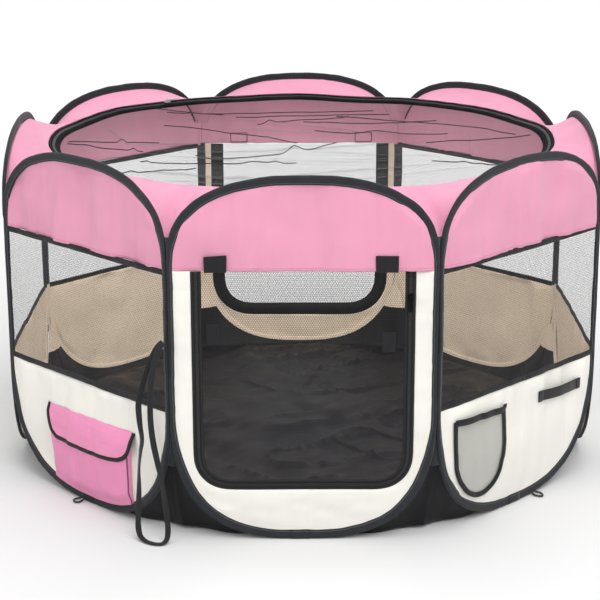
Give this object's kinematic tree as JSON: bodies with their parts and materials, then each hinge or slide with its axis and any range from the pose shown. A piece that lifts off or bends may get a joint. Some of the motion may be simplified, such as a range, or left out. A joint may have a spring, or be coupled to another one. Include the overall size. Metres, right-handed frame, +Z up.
{
  "type": "pet playpen",
  "caption": "Octagonal pop-up fabric pet playpen with spring-wire panels, net windows, zipped net doors, zipped net roof, pockets and a webbing strap.",
  "frame": {"origin": "centre of the floor, on the underside", "axes": "+Z up, -Y out of the front door (the panel with the tie tabs), +X to the right seen from the front"},
  "size_m": [1.006, 1.0374, 0.588],
  "materials": {
    "spring_steel": "spring wire",
    "binding": "woven tape",
    "pink_cloth": "coated oxford",
    "cream_cloth": "coated oxford",
    "net": "knitted hexagonal mesh",
    "zip_metal": "plated zip slider",
    "zip_tape": "coil zip",
    "hook_tape": "hook and loop tape",
    "floor_cloth": "coated oxford, waterproof"
  },
  "bodies": {
    "floor": {"floor_sheet": "floor_cloth", "roof_skirt": "pink_cloth", "roof_zip_ring": "zip_tape", "strap": "binding"},
    "front_panel": {"front_spring_hoop": "spring_steel", "front_binding": "binding", "front_header_fabric": "pink_cloth", "front_surround_fabric": "cream_cloth", "front_door_zip": "zip_tape", "front_tie_tab_left": "hook_tape", "front_tie_tab_right": "hook_tape"},
    "front_right_panel": {"front_right_spring_hoop": "spring_steel", "front_right_binding": "binding", "front_right_upper_fabric": "pink_cloth", "front_right_window_net": "net", "front_right_lower_fabric": "cream_cloth", "front_right_stake_loop": "binding", "net_pocket": "net", "webbing_loop": "binding"},
    "right_panel": {"right_spring_hoop": "spring_steel", "right_binding": "binding", "right_upper_fabric": "pink_cloth", "right_window_net": "net", "right_lower_fabric": "cream_cloth"},
    "back_right_panel": {"back_right_spring_hoop": "spring_steel", "back_right_binding": "binding", "back_right_upper_fabric": "pink_cloth", "back_right_window_net": "net", "back_right_lower_fabric": "cream_cloth", "back_right_stake_loop": "binding"},
    "back_panel": {"back_spring_hoop": "spring_steel", "back_binding": "binding", "back_header_fabric": "pink_cloth", "back_surround_fabric": "cream_cloth", "back_door_zip": "zip_tape"},
    "back_left_panel": {"back_left_spring_hoop": "spring_steel", "back_left_binding": "binding", "back_left_upper_fabric": "pink_cloth", "back_left_window_net": "net", "back_left_lower_fabric": "cream_cloth", "back_left_stake_loop": "binding"},
    "left_panel": {"left_spring_hoop": "spring_steel", "left_binding": "binding", "left_upper_fabric": "pink_cloth", "left_window_net": "net", "left_lower_fabric": "cream_cloth"},
    "front_left_panel": {"front_left_spring_hoop": "spring_steel", "front_left_binding": "binding", "front_left_upper_fabric": "pink_cloth", "front_left_window_net": "net", "front_left_lower_fabric": "cream_cloth", "front_left_stake_loop": "binding", "pocket_bag": "pink_cloth"},
    "front_door": {"front_door_net": "net"},
    "back_door": {"back_door_net": "net"},
    "front_slider": {"front_zip_slider": "zip_metal"},
    "back_slider": {"back_zip_slider": "zip_metal"},
    "lid": {"roof_net": "net"},
    "roof_slider": {"roof_zip_slider": "zip_metal"},
    "flap": {"pocket_flap": "pink_cloth"}
  },
  "joints": [
    {"name": "fold", "type": "hinge", "parent": "floor", "child": "front_panel", "pos_m": [-0.20443, -0.49353, 0.29], "axis": [0, 0, -1], "range_deg": [-60, 0], "deforming": ["floor_sheet", "roof_skirt", "roof_zip_ring", "roof_net"]},
    {"name": "fold_front_left", "type": "hinge", "parent": "floor", "child": "front_left_panel", "pos_m": [-0.20443, -0.49353, 0.29], "axis": [0, 0, 1], "range_deg": [-60, 0], "deforming": ["floor_sheet", "roof_skirt", "roof_zip_ring", "roof_net"]},
    {"name": "fold_front_right", "type": "hinge", "parent": "front_panel", "child": "front_right_panel", "pos_m": [0.20979, -0.50647, 0.29], "axis": [0, 0, 1], "range_deg": [-120, 0], "deforming": ["floor_sheet", "roof_skirt", "roof_zip_ring", "roof_net"]},
    {"name": "fold_right", "type": "hinge", "parent": "front_right_panel", "child": "right_panel", "pos_m": [0.49353, -0.20443, 0.29], "axis": [0, 0, -1], "range_deg": [-120, 0], "deforming": ["floor_sheet", "roof_skirt", "roof_zip_ring", "roof_net"]},
    {"name": "fold_back_right", "type": "hinge", "parent": "right_panel", "child": "back_right_panel", "pos_m": [0.50647, 0.20979, 0.29], "axis": [0, 0, 1], "range_deg": [-120, 0], "deforming": ["floor_sheet", "roof_skirt", "roof_zip_ring", "roof_net"]},
    {"name": "fold_left", "type": "hinge", "parent": "front_left_panel", "child": "left_panel", "pos_m": [-0.50647, -0.20979, 0.29], "axis": [0, 0, -1], "range_deg": [-120, 0], "deforming": ["floor_sheet", "roof_skirt", "roof_zip_ring", "roof_net"]},
    {"name": "fold_back_left", "type": "hinge", "parent": "left_panel", "child": "back_left_panel", "pos_m": [-0.49353, 0.20443, 0.29], "axis": [0, 0, 1], "range_deg": [-120, 0], "deforming": ["floor_sheet", "roof_skirt", "roof_zip_ring", "roof_net"]},
    {"name": "fold_back", "type": "hinge", "parent": "back_left_panel", "child": "back_panel", "pos_m": [-0.20979, 0.50647, 0.29], "axis": [0, 0, -1], "range_deg": [-120, 0], "deforming": ["floor_sheet", "roof_skirt", "roof_zip_ring", "roof_net"]},
    {"name": "front_door_hinge", "type": "hinge", "parent": "front_panel", "child": "front_door", "pos_m": [0, -0.5035, 0.44], "axis": [-1, 0, 0], "range_deg": [0, 165]},
    {"name": "front_zip_slide", "type": "slide", "parent": "front_panel", "child": "front_slider", "axis": [0, 0, -1], "range_m": [0, 0.22]},
    {"name": "back_door_hinge", "type": "hinge", "parent": "back_panel", "child": "back_door", "pos_m": [0, 0.5035, 0.44], "axis": [1, 0, 0], "range_deg": [0, 165]},
    {"name": "back_zip_slide", "type": "slide", "parent": "back_panel", "child": "back_slider", "axis": [0, 0, -1], "range_m": [0, 0.22]},
    {"name": "lid_hinge", "type": "hinge", "parent": "floor", "child": "lid", "pos_m": [0, 0.4295, 0.549], "axis": [-1, 0, 0], "range_deg": [0, 130]},
    {"name": "roof_zip_travel", "type": "hinge", "parent": "back_left_panel", "child": "roof_slider", "pos_m": [0, 0, 0.55], "axis": [0, 0, 1], "range_deg": [0, 270]},
    {"name": "pocket_flap_hinge", "type": "hinge", "parent": "front_left_panel", "child": "flap", "pos_m": [-0.3544, -0.3544, 0.154], "axis": [-0.7071, 0.7071, 0], "range_deg": [0, 120]}
  ],
  "couplings": [
    {"joint": "fold_front_left", "follows": "fold", "ratio": 1},
    {"joint": "fold_front_right", "follows": "fold", "ratio": 2},
    {"joint": "fold_right", "follows": "fold", "ratio": 2},
    {"joint": "fold_back_right", "follows": "fold", "ratio": 2},
    {"joint": "fold_left", "follows": "fold", "ratio": 2},
    {"joint": "fold_back_left", "follows": "fold", "ratio": 2},
    {"joint": "fold_back", "follows": "fold", "ratio": 2}
  ]
}
